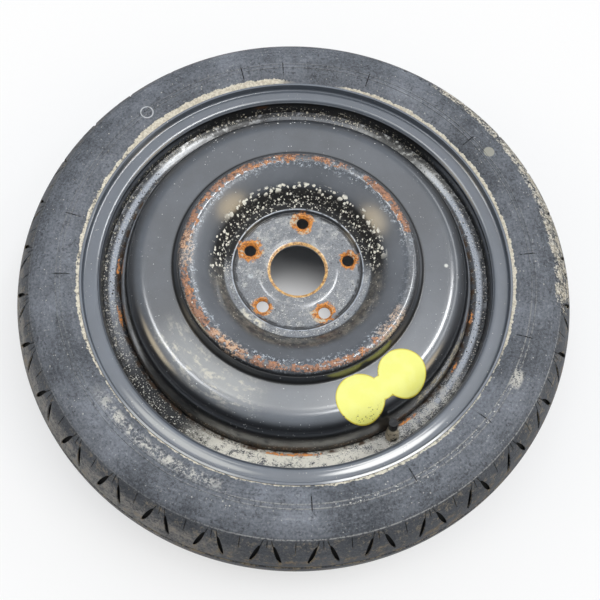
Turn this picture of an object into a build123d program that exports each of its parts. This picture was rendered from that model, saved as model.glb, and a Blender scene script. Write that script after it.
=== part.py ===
from build123d import *
import os
from math import ceil, cos, radians, sin, tan

# Space saver spare wheel: a narrow temporary-use tyre on a welded steel wheel, lying with its outer side up.
# Frame: Z is the wheel's axis, the face that bolts to the hub lies on Z = 0, and +Z points outboard.
# All sizes are in millimetres and all angles in degrees.

os.makedirs("parts", exist_ok=True)

# Rim: one rolled sheet with two curled lips, tapered bead seats and a drop well
seat_diameter = 436.6       # bead seats, a nominal 17 in
rim_width = 101.6           # between the flange faces, a nominal 4 in
wheel_offset = 50.0         # hub face above the rim's middle plane
rim_sheet = 2.4
flange_height = 17.3        # lip edge above the bead seat
lip_height = 11.2           # lip edge outside the flange face
lip_bend = 9.5              # length of the lip's curl before and after its corner
seat_length = 19.0
seat_taper = 5.0
well_depth = 20.4           # well bed below the bead seat
ledge_slope = 11.0          # the well's outer wall, which carries the valve
back_wall_run = 14.0        # axial length of the well's inner wall

# Wheel disc: one pressed sheet from the centre bore to the skirt inside the rim's well
disc_sheet = 4.0
bore_diameter = 60.1
bore_coin_width = 3.1       # coined bevel around the bore
bore_coin_depth = 1.6
pad_ring_radius = 43.5      # ring around the bore, pressed slightly proud of the pad
pad_ring_rise = 0.8
pad_ring_run = 1.6          # half of that ring's sloping edge
pad_radius = 67.6           # flat pad that bolts to the hub
pad_step = 4.2              # height of the step around the pad
shelf_width = 8.0           # flat shelf outside the step
shelf_bend = 3.5
bowl_radius = 98.0          # where the bowl's steep wall eases
bowl_height = 26.8
bowl_bend = 6.0
crest_radius = 121.3        # rounded crest around the bowl
crest_height = 39.2
crest_bend = 6.5
crest_edge_radius = 129.5
crest_edge_height = 34.0
crest_edge_bend = 3.0
crease_radius = 135.0       # foot of the crest's outer wall
crease_height = 23.8
shoulder_inset = 13.95      # corner between the flat ring and the shoulder's wall, inside the skirt
shoulder_height = 25.2
shoulder_bend = 22.0
skirt_top = -12.5           # where the shoulder's wall meets the skirt
skirt_bend = 8.0
skirt_end = -46.0
skirt_fit = 0.05            # radial play of the skirt in the rim's well
lug_circle = 114.3
lug_count = 5
lug_first_angle = 18.5
lug_hole_diameter = 13.2
lug_seat_angle = 90.0       # included angle of the nut's cone
lug_seat_depth = 2.2
lug_pocket_radius = 13.4    # room for the nut, cut into the step around the pad

# Welds between the skirt's end and the rim's well
weld_count = 8
weld_leg = 4.0
weld_crown = 0.6            # how far the bead's face stands out, as a share of its leg
weld_arc = 11.0
weld_first_angle = 24.0

# Tyre: one moulded casing with a round tread, shoulder slots and two beads
section_height = 95.1       # the tread's crown above the bead seats
section_width = 134.0
tread_arc_radius = 85.0     # the tread's arc across the tyre
tread_half_angle = 45.0
bulge_share = 0.365         # widest place of the sidewall, as a share of the way from lip to crown
bulge_half_height = 12.0    # half of the band between its two bends
bulge_bend = 7.0
tread_wall = 10.0
sidewall_wall = 7.0
liner_angles = (14.0, 42.0)  # corners of the liner behind the tread
bead_width = 15.0
bead_height = 14.0
bead_lean = 3.0             # how far the bead's inner side leans out over its height
bead_fit = 0.1              # play of the bead on its seat
clinch_fit = 0.3            # play of the tyre around the flange and the lip's curl
clinch_width = 2.4          # how far outside the lip's edge the sidewall starts
clinch_drop = 1.0           # how far below the lip's edge the tyre meets it
groove_angle = 11.5         # two grooves around the tread
groove_width = 6.5
groove_depth = 4.0
slot_count = 33             # pairs of slots on each shoulder, which spread apart towards the crown
slot_width = 3.2
slot_length = 27.0
slot_depth = 4.0
slot_angle = 29.0           # from the crown to the slots' middles, across the tread
slot_lean = 16.0
slot_spread = 4.3           # between the middles of a pair's two slots, around the wheel
slot_first_angle = 8.25

# Tyre valve: rubber snap-in stem in the ledge, with its tube, core and cap, in heights above the ledge
valve_angle = 305.3
valve_inset = 6.9           # the valve's axis outside the well's bed, on the ledge
valve_hole_diameter = 11.3
stem_fit = 0.1              # play of the rubber around the hole's edges
stem_base_radius = 7.4
stem_base_height = 5.0
stem_base_bevel = 1.3
stem_bulb_radius = 7.0
stem_bulb_height = 7.0
stem_bulb_taper = 1.5
stem_top_radius = 5.0
stem_top = 22.5
bond_gap = 0.02             # between the tube and the rubber moulded around it
tube_radius = 3.2           # inside the rubber
tube_thread_radius = 3.85   # under the cap
tube_top = 33.0
tube_mouth_radius = 2.65    # chamber for the core
tube_seat_top = 24.0        # cone that the core's ring seals on
tube_seat_depth = 1.4
tube_throat_radius = 1.9
core_fit = 0.05
core_top = 32.2
core_head_length = 5.2
core_bridge_width = 2.6     # bridge left between the two flats of the head
core_bridge_height = 2.2
core_neck_radius = 1.7
core_wall = 0.4
core_end = 13.0
core_floor = 2.0            # closed end that the pin's cup shuts against
seal_radius = 2.4
pin_radius = 0.6
pin_fit = 0.05
pin_top = 32.7
pin_collar_radius = 1.1
pin_collar_height = 1.0
pin_collar_top = 26.0
pin_collar_gap = 0.4        # above the collar, inside the core
pin_cup_radius = 1.6
pin_cup_height = 2.0
spring_wire = 0.3
spring_turns = 5
spring_steps = 8            # straight steps in one turn of the spring
cap_radius = 4.75
cap_top = 36.0
cap_wall = 1.6
cap_fit = 0.1
cap_gap = 0.3               # between the cap's skirt and the rubber
cap_bevel = 0.5
cap_dimple_radius = 2.4
cap_dimple_depth = 0.6

# Speed sticker: a film of two discs joined by a neck
sticker_film = 0.3
sticker_glue = 0.05         # between the film and the paint
sticker_disc_radius = 25.6
sticker_inset = 19.5        # the discs' centres inside the shoulder's corner
sticker_first_angle = 299.0
sticker_second_angle = 317.4
sticker_neck_width = 25.0
sticker_neck_length = 36.0

# Steps of the curves
bend_step_angle = 30.0      # most that one step of a bend turns
tread_step_angle = 15.0

# Values that follow from the sizes above
mid_plane = Plane(origin=(0, 0, -wheel_offset), x_dir=(1, 0, 0), z_dir=(0, -1, 0))
seat_radius = seat_diameter / 2
seat_drop = tan(radians(seat_taper))
lip_radius = seat_radius + flange_height
flange_z = rim_width / 2
lip_z = flange_z + lip_height
seat_end_z = flange_z - seat_length
seat_end_radius = seat_radius - seat_length * seat_drop
well_radius = seat_radius - well_depth
ledge_drop = tan(radians(ledge_slope))
ledge_end_z = seat_end_z - (seat_end_radius - well_radius) * ledge_drop
skirt_radius = well_radius - rim_sheet - skirt_fit
shoulder_radius = skirt_radius - shoulder_inset
tyre_radius = seat_radius + section_height
tread_centre = tyre_radius - tread_arc_radius
bulge_radius = lip_radius + bulge_share * (tyre_radius - lip_radius)

# The valve's own frame: its origin is on the ledge, Z runs up the stem and X around the wheel
valve_radius = well_radius + valve_inset
ledge_z = seat_end_z - (seat_end_radius - valve_radius) * ledge_drop + rim_sheet / cos(radians(ledge_slope))
valve_turn = radians(valve_angle)
valve_lean = radians(ledge_slope)
valve_plane = Plane(
    origin=(valve_radius * cos(valve_turn), valve_radius * sin(valve_turn), ledge_z - wheel_offset),
    x_dir=(-sin(valve_turn), cos(valve_turn), 0),
    z_dir=(-sin(valve_lean) * cos(valve_turn), -sin(valve_lean) * sin(valve_turn), cos(valve_lean)),
)
valve_section = Plane(origin=valve_plane.origin, x_dir=valve_plane.x_dir, z_dir=-valve_plane.y_dir)
valve_axis = Axis(valve_plane.origin, valve_plane.z_dir)


def bent_line(points, bends):
    """Draw straight runs through the points, with a stepped curve that starts one bend before each corner."""
    corners = [Vector(*point) for point in points]
    drawn = [corners[0]]
    for before, corner, after, bend in zip(corners, corners[1:], corners[2:], bends):
        way_in = (corner - before).normalized()
        way_out = (after - corner).normalized()
        steps = ceil(way_in.get_angle(way_out) / bend_step_angle) if bend else 0
        for step in range(steps + 1):
            share = step / max(steps, 1)
            drawn.append(corner - way_in * bend * (1 - share) ** 2 + way_out * bend * share**2)
    Polyline(*drawn, corners[-1])


def bent_sheet(points, bends, sheet):
    """Draw the section of a bent sheet: the given face, and its back one sheet to the right of it."""
    runs = [(Vector(*end) - Vector(*start)).normalized() for start, end in zip(points, points[1:])]
    sides = [Vector(run.Y, -run.X) for run in runs]
    back = [Vector(*points[0]) + sides[0] * sheet]
    back_bends = []
    for number, bend in enumerate(bends):
        before, after = sides[number], sides[number + 1]
        mitre = (before + after) * (sheet / (1 + before.dot(after)))
        back.append(Vector(*points[number + 1]) + mitre)
        back_bends.append(max(bend + mitre.dot(runs[number]), 0) if bend else 0)
    back.append(Vector(*points[-1]) + sides[-1] * sheet)
    bent_line(points, bends)
    bent_line(back, back_bends)
    Line(points[0], back[0])
    Line(points[-1], back[-1])


# Rim
with BuildPart() as rim:
    with BuildSketch(mid_plane):
        with BuildLine():
            bent_sheet(
                [
                    (lip_radius, lip_z),
                    (lip_radius, flange_z),
                    (seat_radius, flange_z),
                    (seat_end_radius, seat_end_z),
                    (well_radius, ledge_end_z),
                    (well_radius, back_wall_run - seat_end_z),
                    (seat_end_radius, -seat_end_z),
                    (seat_radius, -flange_z),
                    (lip_radius, -flange_z),
                    (lip_radius, -lip_z),
                ],
                [lip_bend, 0, 0, 0, 0, 0, 0, lip_bend],
                rim_sheet,
            )
        make_face()
    revolve(axis=Axis.Z)
    with BuildSketch(valve_plane):
        Circle(valve_hole_diameter / 2)
    extrude(amount=2 * rim_sheet, both=True, mode=Mode.SUBTRACT)
rim.part.label = "rim"
export_step(rim.part, "parts/rim.step")


# Wheel disc
bore_radius = bore_diameter / 2
bore_top = disc_sheet + pad_ring_rise
shelf_height = disc_sheet + pad_step
lug_radius = lug_hole_diameter / 2
lug_seat_radius = lug_radius + lug_seat_depth * tan(radians(lug_seat_angle / 2))
with BuildPart() as wheel_disc:
    with BuildSketch(Plane.XZ):
        with BuildLine():
            bent_sheet(
                [
                    (bore_radius, bore_top),
                    (pad_ring_radius - pad_ring_run, bore_top),
                    (pad_ring_radius + pad_ring_run, disc_sheet),
                    (pad_radius, disc_sheet),
                    (pad_radius + pad_step, shelf_height),
                    (pad_radius + pad_step + shelf_width, shelf_height),
                    (bowl_radius, bowl_height),
                    (crest_radius, crest_height),
                    (crest_edge_radius, crest_edge_height),
                    (crease_radius, crease_height),
                    (shoulder_radius, shoulder_height),
                    (skirt_radius, skirt_top),
                    (skirt_radius, skirt_end),
                ],
                [0, 0, 0, 0, shelf_bend, bowl_bend, crest_bend, crest_edge_bend, 0, shoulder_bend]
                + [skirt_bend],
                disc_sheet,
            )
        make_face()
    revolve(axis=Axis.Z)
    with Locations((0, 0, bore_top - bore_coin_depth)):
        Cone(
            bore_radius,
            bore_radius + bore_coin_width,
            bore_coin_depth,
            align=(Align.CENTER, Align.CENTER, Align.MIN),
            mode=Mode.SUBTRACT,
        )
    with BuildSketch(Plane.XY.offset(disc_sheet)):
        with PolarLocations(lug_circle / 2, lug_count, start_angle=lug_first_angle):
            Circle(lug_pocket_radius)
    extrude(amount=pad_step, mode=Mode.SUBTRACT)
    with PolarLocations(lug_circle / 2, lug_count, start_angle=lug_first_angle):
        Hole(lug_radius)
    with Locations((0, 0, disc_sheet - lug_seat_depth)):
        with PolarLocations(lug_circle / 2, lug_count, start_angle=lug_first_angle):
            Cone(
                lug_radius,
                lug_seat_radius,
                lug_seat_depth,
                align=(Align.CENTER, Align.CENTER, Align.MIN),
                mode=Mode.SUBTRACT,
            )
wheel_disc.part.label = "wheel_disc"
export_step(wheel_disc.part, "parts/wheel_disc.step")


# Weld beads, spaced around the skirt's end
with BuildPart() as weld_beads:
    for number in range(weld_count):
        with BuildSketch(Plane.XZ.rotated((0, 0, weld_first_angle + number * 360 / weld_count))):
            with BuildLine():
                weld_face = ThreePointArc(
                    (skirt_radius - weld_leg, skirt_end),
                    (skirt_radius - weld_leg * weld_crown, skirt_end - weld_leg * weld_crown),
                    (skirt_radius, skirt_end - weld_leg),
                )
                Polyline(weld_face @ 1, (skirt_radius, skirt_end), weld_face @ 0)
            make_face()
        revolve(axis=Axis.Z, revolution_arc=weld_arc)
weld_beads.part.label = "weld_beads"
export_step(weld_beads.part, "parts/weld_beads.step")


# Cutters of the shoulder slots: a pair leans apart on the tread, and the far shoulder's are half a pitch on
slot_turn = radians(slot_angle)
slot_out = Vector(cos(slot_turn), 0, sin(slot_turn))
slot_plane = Plane(
    origin=Vector(tread_centre, 0, -wheel_offset) + slot_out * tread_arc_radius,
    x_dir=(sin(slot_turn), 0, -cos(slot_turn)),
    z_dir=slot_out,
)
half_pitch = 180 / slot_count
slots = []
for side in (-1, 1):
    with BuildPart() as slot:
        with BuildSketch(slot_plane):
            Rectangle(slot_length, slot_width, rotation=side * slot_lean)
        extrude(amount=slot_depth, both=True)
    near_slot = slot.part.rotate(Axis.Z, slot_first_angle + side * slot_spread / 2)
    far_slot = mirror(near_slot, about=Plane.XY.offset(-wheel_offset))
    slots += [near_slot, far_slot.rotate(Axis.Z, half_pitch)]

# Tyre
tread_points = []
for step in range(round(tread_half_angle / tread_step_angle) + 1):
    turn = radians(step * tread_step_angle)
    tread_points.append((tread_centre + tread_arc_radius * cos(turn), tread_arc_radius * sin(turn)))
liner_points = []
for angle in liner_angles:
    turn = radians(angle)
    liner_radius = tread_arc_radius - tread_wall
    liner_points.append((tread_centre + liner_radius * cos(turn), liner_radius * sin(turn)))
half_width = section_width / 2
toe_z = flange_z - bead_width
toe_radius = seat_radius - bead_width * seat_drop + bead_fit
heel_z = flange_z - clinch_fit
with BuildPart() as tyre:
    with BuildSketch(mid_plane):
        with BuildLine():
            Polyline(*tread_points)
            bent_line(
                [
                    tread_points[-1],
                    (bulge_radius + bulge_half_height, half_width),
                    (bulge_radius - bulge_half_height, half_width),
                    (lip_radius + clinch_width, lip_z),
                    (lip_radius + clinch_fit, lip_z - clinch_drop),
                    (lip_radius + clinch_fit, heel_z),
                    (seat_radius - clinch_fit * seat_drop + bead_fit, heel_z),
                    (toe_radius, toe_z),
                    (toe_radius + bead_height, toe_z + bead_lean),
                    (bulge_radius, half_width - sidewall_wall),
                    liner_points[1],
                    liner_points[0],
                    (liner_points[0][0], 0),
                ],
                [bulge_bend, bulge_bend, 0, 0, lip_bend + clinch_fit, 0, 0, 0, 0, 0, 0],
            )
            mirror(about=Plane.XZ)
        make_face()
        with Locations((tread_centre, 0)):
            with PolarLocations(tread_arc_radius, 2, -groove_angle, 2 * groove_angle, endpoint=True):
                Rectangle(2 * groove_depth, groove_width, mode=Mode.SUBTRACT)
    revolve(axis=Axis.Z)
    with PolarLocations(0, slot_count):
        add(slots, mode=Mode.SUBTRACT)
tyre.part.label = "tyre"
export_step(tyre.part, "parts/tyre.step")


# Rubber body of the valve: base on the ledge, neck in the hole, bulb inside the tyre
stem_bore = tube_radius + bond_gap
stem_neck = valve_hole_diameter / 2 - stem_fit
bulb_top = -rim_sheet - stem_fit
stem_end = bulb_top - stem_bulb_height
with BuildPart() as valve_stem:
    with BuildSketch(valve_section) as stem_section:
        with BuildLine():
            Polyline(
                (stem_bore, stem_end),
                (stem_bulb_radius - stem_bulb_taper, stem_end),
                (stem_bulb_radius, bulb_top - stem_bulb_taper),
                (stem_bulb_radius, bulb_top),
                (stem_neck, bulb_top),
                (stem_neck, stem_fit),
                (stem_base_radius, stem_fit),
                (stem_base_radius, stem_base_height),
                (stem_top_radius, stem_top),
                (stem_bore, stem_top),
                close=True,
            )
        make_face()
        chamfer(stem_section.vertices().group_by(Axis.X)[-1], stem_base_bevel)
    revolve(axis=valve_axis)
valve_stem.part.label = "valve_stem"
export_step(valve_stem.part, "parts/valve_stem.step")


# Brass tube inside the rubber, with a cone that seals the core
thread_foot = stem_top + bond_gap
with BuildPart() as valve_tube:
    with BuildSketch(valve_section):
        with BuildLine():
            Polyline(
                (tube_throat_radius, stem_end),
                (tube_radius, stem_end),
                (tube_radius, thread_foot),
                (tube_thread_radius, thread_foot),
                (tube_thread_radius, tube_top),
                (tube_mouth_radius, tube_top),
                (tube_mouth_radius, tube_seat_top),
                (tube_throat_radius, tube_seat_top - tube_seat_depth),
                close=True,
            )
        make_face()
    revolve(axis=valve_axis)
valve_tube.part.label = "valve_tube"
export_step(valve_tube.part, "parts/valve_tube.step")


# Core plug: a head with a bridge, and a neck that holds the spring
core_head_radius = tube_mouth_radius - core_fit
core_head_end = core_top - core_head_length
core_chamber = core_neck_radius - core_wall
pin_hole = pin_radius + pin_fit
with BuildPart() as valve_core_body:
    with BuildSketch(valve_section):
        with BuildLine():
            Polyline(
                (pin_hole, core_top),
                (core_head_radius, core_top),
                (core_head_radius, core_head_end),
                (core_neck_radius, core_head_end),
                (core_neck_radius, core_end),
                (pin_hole, core_end),
                (pin_hole, core_end + core_floor),
                (core_chamber, core_end + core_floor),
                (core_chamber, pin_collar_top + pin_collar_gap),
                (pin_hole, pin_collar_top + pin_collar_gap),
                close=True,
            )
        make_face()
    revolve(axis=valve_axis)
    with BuildSketch(valve_plane.offset(core_top)):
        Circle(core_head_radius + core_fit)
        Rectangle(core_bridge_width, 4 * core_head_radius, mode=Mode.SUBTRACT)
    extrude(amount=-core_bridge_height, mode=Mode.SUBTRACT)
valve_core_body.part.label = "valve_core_body"
export_step(valve_core_body.part, "parts/valve_core_body.step")


# Ring between the plug's head and the tube's cone
cone_ratio = tube_seat_depth / (tube_mouth_radius - tube_throat_radius)
seal_end = tube_seat_top - (tube_mouth_radius - seal_radius) * cone_ratio + core_fit
seal_bore = core_neck_radius + core_fit
with BuildPart() as valve_core_seal:
    with BuildSketch(valve_section):
        with BuildLine():
            Polyline(
                (seal_bore, seal_end),
                (seal_radius, seal_end),
                (seal_radius, core_head_end - core_fit),
                (seal_bore, core_head_end - core_fit),
                close=True,
            )
        make_face()
    revolve(axis=valve_axis)
valve_core_seal.part.label = "valve_core_seal"
export_step(valve_core_seal.part, "parts/valve_core_seal.step")


# Pin with a collar for the spring and a cup that shuts the plug's end
collar_end = pin_collar_top - pin_collar_height
cup_top = core_end - pin_fit
with BuildPart() as valve_core_pin:
    with BuildSketch(valve_section):
        with BuildLine():
            Polyline(
                (0, pin_top),
                (pin_radius, pin_top),
                (pin_radius, pin_collar_top),
                (pin_collar_radius, pin_collar_top),
                (pin_collar_radius, collar_end),
                (pin_radius, collar_end),
                (pin_radius, cup_top),
                (pin_cup_radius, cup_top),
                (pin_cup_radius, cup_top - pin_cup_height),
                (0, cup_top - pin_cup_height),
                close=True,
            )
        make_face()
    revolve(axis=valve_axis)
valve_core_pin.part.label = "valve_core_pin"
export_step(valve_core_pin.part, "parts/valve_core_pin.step")


# Spring between the plug's closed end and the pin's collar
spring_foot = core_end + core_floor + spring_wire / 2 + pin_fit
spring_height = collar_end - spring_wire / 2 - pin_fit - spring_foot
spring_radius = (pin_radius + core_chamber) / 2
with BuildPart() as valve_core_spring:
    with BuildLine(valve_plane) as spring_line:
        spring_points = []
        for step in range(spring_turns * spring_steps + 1):
            turn = radians(step * 360 / spring_steps)
            climb = spring_height * step / (spring_turns * spring_steps)
            spring_points.append((spring_radius * cos(turn), spring_radius * sin(turn), spring_foot + climb))
        Polyline(*spring_points)
    with BuildSketch(Plane(origin=spring_line.line @ 0, z_dir=spring_line.line % 0)):
        Rectangle(spring_wire, spring_wire)
    sweep(path=spring_line.line, transition=Transition.RIGHT)
valve_core_spring.part.label = "valve_core_spring"
export_step(valve_core_spring.part, "parts/valve_core_spring.step")


# Dust cap, hollow over the tube, with a dished top
cap_bore = tube_thread_radius + cap_fit
cap_foot = stem_top + cap_gap
with BuildPart() as valve_cap:
    with BuildSketch(valve_section):
        with BuildLine():
            Polyline(
                (0, cap_top - cap_dimple_depth),
                (cap_dimple_radius, cap_top),
                (cap_radius - cap_bevel, cap_top),
                (cap_radius, cap_top - cap_bevel),
                (cap_radius, cap_foot),
                (cap_bore, cap_foot),
                (cap_bore, cap_top - cap_wall),
                (0, cap_top - cap_wall),
                close=True,
            )
        make_face()
    revolve(axis=valve_axis)
valve_cap.part.label = "valve_cap"
export_step(valve_cap.part, "parts/valve_cap.step")


# Speed sticker: a film over the disc's flat ring and shoulder, trimmed to the outline
sticker_middle = (sticker_first_angle + sticker_second_angle) / 2
sticker_half_turn = sticker_second_angle - sticker_first_angle
sticker_circle = shoulder_radius - sticker_inset
with BuildPart() as speed_sticker:
    with BuildSketch(Plane.XZ.rotated((0, 0, sticker_middle - sticker_half_turn))):
        with BuildLine():
            bent_sheet(
                [
                    (crease_radius, crease_height + sticker_glue),
                    (shoulder_radius + sticker_glue, shoulder_height + sticker_glue),
                    (skirt_radius + sticker_glue, skirt_top),
                ],
                [shoulder_bend],
                -sticker_film,
            )
        make_face()
    revolve(axis=Axis.Z, revolution_arc=2 * sticker_half_turn)
    with BuildSketch(Plane.XY):
        for angle in (sticker_first_angle, sticker_second_angle):
            with PolarLocations(sticker_circle, 1, start_angle=angle):
                Circle(sticker_disc_radius)
        with PolarLocations(sticker_circle, 1, start_angle=sticker_middle):
            Rectangle(sticker_neck_width, sticker_neck_length)
    extrude(amount=crest_height, mode=Mode.INTERSECT)
speed_sticker.part.label = "speed_sticker"
export_step(speed_sticker.part, "parts/speed_sticker.step")
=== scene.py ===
# %% [markdown]
# # A space saver spare wheel
# The wheel lies on its inner side: a narrow round tyre on a black steel wheel that has been in a damp
# boot for years. The solids of the real pieces come first, as a frame. Each cell below then makes one
# piece that looks like the real one, in the same place, and says which solid it stands for.

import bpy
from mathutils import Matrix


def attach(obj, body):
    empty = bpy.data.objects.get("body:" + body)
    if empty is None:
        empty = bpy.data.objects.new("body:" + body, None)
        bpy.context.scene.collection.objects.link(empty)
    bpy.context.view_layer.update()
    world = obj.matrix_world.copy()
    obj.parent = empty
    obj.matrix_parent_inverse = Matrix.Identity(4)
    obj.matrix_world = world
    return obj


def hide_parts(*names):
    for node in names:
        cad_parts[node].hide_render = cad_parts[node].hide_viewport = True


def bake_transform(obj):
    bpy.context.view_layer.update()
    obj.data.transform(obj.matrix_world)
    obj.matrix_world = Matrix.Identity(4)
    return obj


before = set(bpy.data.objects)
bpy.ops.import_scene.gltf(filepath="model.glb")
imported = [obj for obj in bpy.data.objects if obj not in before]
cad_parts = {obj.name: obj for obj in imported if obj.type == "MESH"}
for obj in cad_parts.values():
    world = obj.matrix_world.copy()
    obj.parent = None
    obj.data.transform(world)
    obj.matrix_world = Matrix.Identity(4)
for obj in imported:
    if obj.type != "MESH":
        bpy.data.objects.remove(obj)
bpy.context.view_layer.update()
print("frame nodes:", ", ".join(sorted(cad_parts)))

# %% [markdown]
# Every round piece of a wheel is a section turned around one axis, so the sections are drawn first.
# A drawing in millimetres is a list of (radius, height) corners. A pressed or rolled sheet has no sharp
# corners, so each corner gets a bend: a short parabola that leaves one straight run and joins the next.

# %% Drawing a section
from math import ceil, cos, degrees, radians, sin

import bpy
from mathutils import Matrix, Vector

mm = 0.001
least_bend = 0.3


def bent_line(corners, bends, turn=9):
    """Points of a line through the corners, eased over the length of each bend."""
    corners = [Vector(corner) for corner in corners]
    line = [corners[0]]
    for before, corner, after, bend in zip(corners, corners[1:], corners[2:], bends):
        way_in = (corner - before).normalized()
        way_out = (after - corner).normalized()
        steps = ceil(degrees(way_in.angle(way_out)) / turn) if bend else 0
        for step in range(steps + 1):
            share = step / max(steps, 1)
            line.append(corner - way_in * bend * (1 - share) ** 2 + way_out * bend * share**2)
    return line + [corners[-1]]


def bent_sheet(corners, bends, thickness):
    """Closed section of a sheet: its drawn face, and its back to the right of the drawing's direction."""
    corners = [Vector(corner) for corner in corners]
    runs = [(end - start).normalized() for start, end in zip(corners, corners[1:])]
    sides = [Vector((run.y, -run.x)) for run in runs]
    back = [corners[0] + sides[0] * thickness]
    back_bends = []
    for corner, bend, run, before, after in zip(corners[1:], bends, runs, sides, sides[1:]):
        mitre = (before + after) * (thickness / (1 + before.dot(after)))
        back.append(corner + mitre)
        back_bends.append(max(bend + mitre.dot(run), least_bend))
    back.append(corners[-1] + sides[-1] * thickness)
    return bent_line(corners, bends) + bent_line(back, back_bends)[::-1]


sample = bent_line([(0, 0), (4, 0), (4, 4)], [2], 45)
print("bend of a right angle:", [tuple(round(v, 2) for v in point) for point in sample])

# %% [markdown]
# A lathe turns a section into a ring. Here one vertex is extruded along the drawing, the outline is
# welded shut, and Spin carries it around the axis. Spin is the natural tool for a wheel: the number of
# steps alone decides how round it looks. A part of a turn leaves two open ends, which Fill Holes closes.

# %% Turning a section
def object_mode():
    if bpy.context.object and bpy.context.object.mode != "OBJECT":
        bpy.ops.object.mode_set(mode="OBJECT")
    bpy.ops.object.select_all(action="DESELECT")


def pick(piece):
    object_mode()
    piece.select_set(True)
    bpy.context.view_layer.objects.active = piece


weld_reach = 0.002 * mm


def turned(name, section, steps, sweep=360):
    """A ring, or a sector of one, from a closed section of (radius, height) points in millimetres."""
    object_mode()
    bpy.ops.mesh.primitive_plane_add(size=mm)
    piece = bpy.context.object
    piece.name = piece.data.name = name
    bpy.ops.object.mode_set(mode="EDIT")
    bpy.ops.mesh.merge(type="CENTER")
    place = Vector((0, 0, 0))
    for number, (radius, height) in enumerate(list(section) + [section[0]]):
        point = Vector((radius, 0, height)) * mm
        if number == 0:
            bpy.ops.transform.translate(value=point)
        else:
            bpy.ops.mesh.extrude_vertices_move(TRANSFORM_OT_translate={"value": point - place})
        place = point
    bpy.ops.mesh.select_all(action="SELECT")
    bpy.ops.mesh.remove_doubles(threshold=weld_reach)
    bpy.ops.mesh.spin(steps=steps, angle=radians(sweep), center=(0, 0, 0), axis=(0, 0, -1))
    bpy.ops.mesh.select_all(action="SELECT")
    bpy.ops.mesh.remove_doubles(threshold=weld_reach)
    if sweep < 360:
        bpy.ops.mesh.fill_holes(sides=0)
    bpy.ops.mesh.select_all(action="SELECT")
    bpy.ops.mesh.normals_make_consistent(inside=False)
    bpy.ops.object.mode_set(mode="OBJECT")
    return piece


print("lathe ready: turned(name, section, steps)")

# %% [markdown]
# The tyre is moulded in a ring of equal segments, one for each pitch of the tread. So one segment of one
# half is enough: a sector of the section, cut by the tread's slots, then repeated around the wheel.
# The section runs from the crown over the round tread and the sidewall, around the bead in the rim,
# and back along the inner liner. Two thin ribs go around the sidewall, where the real mould has its lines.

# %% Section of half a tyre
middle = -50.0
tread_centre, tread_radius = 228.4, 85.0
groove_depth, notch_depth = 4, 0.5


def on_tread(angle, depth=0.0):
    reach = tread_radius - depth
    return Vector((tread_centre + reach * cos(radians(angle)), middle + reach * sin(radians(angle))))


tread = [on_tread(angle) for angle in (0, 3, 6, 8)]
tread += [on_tread(9.3), on_tread(9.6, groove_depth), on_tread(13.4, groove_depth), on_tread(13.7)]
tread += [on_tread(angle) for angle in (16, 18.5, 21, 23.5, 26, 28.5)]
tread += [on_tread(30.3), on_tread(30.5, notch_depth), on_tread(30.8, notch_depth), on_tread(31)]
tread += [on_tread(angle) for angle in (33, 35.5, 38, 40.5, 43)]
tread += [on_tread(44.4), on_tread(44.8, -0.4), on_tread(45.3, -0.3)]
sidewall = bent_line([(288.5, 10.1), (276, 17), (252, 17), (238, 12)], [8, 9], 3)
ribs = (259.5, 255.0)
rib_shape = ((0.7, 0), (0.3, 0.5), (-0.3, 0.5), (-0.7, 0))
ribbed = [point for point in sidewall[1:] if min(abs(point.x - rib) for rib in ribs) > 1]
for before, after in zip(sidewall, sidewall[1:]):
    for rib in ribs:
        if after.x < rib <= before.x:
            height = before.y + (after.y - before.y) * (before.x - rib) / (before.x - after.x)
            ribbed += [Vector((rib + side, height + rise)) for side, rise in rib_shape]
ribbed = sorted(ribbed, key=lambda point: -point.x)
bead = bent_line([(235.9, 11), (235.9, 0.1), (218.4, 0.1), (217.1, -14.2)], [4.7, 4.6])
liner = [(231.1, -11.2), (264, 10), (284.14, 0.18), (301.17, -31.86), (301.17, middle)]
half_section = tread + ribbed + bead + [Vector(point) for point in liner]
print("half a tyre's section:", len(half_section), "points")

# %% [markdown]
# In a real mould thin blades leave the slots. Here each blade is a small closed solid, the blades are
# joined into one cutter, and a Boolean takes it away from the rubber. The same helpers punch the
# wheel's holes later, because a punched hole is also one solid less another.

# %% Cutting and joining
def cut(piece, cutter, operation="DIFFERENCE", crossing=False):
    """Cut a piece with a closed cutter, which is used up. Crossing: parts of the cutter may touch."""
    pick(piece)
    bpy.ops.object.modifier_add(type="BOOLEAN")
    boolean = piece.modifiers[-1]
    boolean.operation = operation
    boolean.solver = "EXACT"
    boolean.use_self = crossing
    boolean.object = cutter
    bpy.ops.object.modifier_apply(modifier=boolean.name)
    pick(cutter)
    bpy.ops.object.delete()


def joined(name, pieces):
    pick(pieces[0])
    for piece in pieces:
        piece.select_set(True)
    bpy.ops.object.join()
    piece = bpy.context.object
    piece.name = piece.data.name = name
    return piece


print("cutters ready: cut(piece, cutter), joined(name, pieces)")

# %% [markdown]
# Each pitch of the tread has two leaf-shaped slots that spread apart towards the crown, three fine sipes
# in a fan between them, and one single sipe. A leaf is a cylinder squeezed to an ellipse, and a sipe is a
# thin box. They are placed on the tread by three turns: the lean in the surface, the way up the tread's
# arc, and the place around the wheel. One Boolean cuts them all.

# %% One segment of the tread
pitches = 33
pitch = 360 / pitches
segment_start = 1.5
overhang = 7


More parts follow.
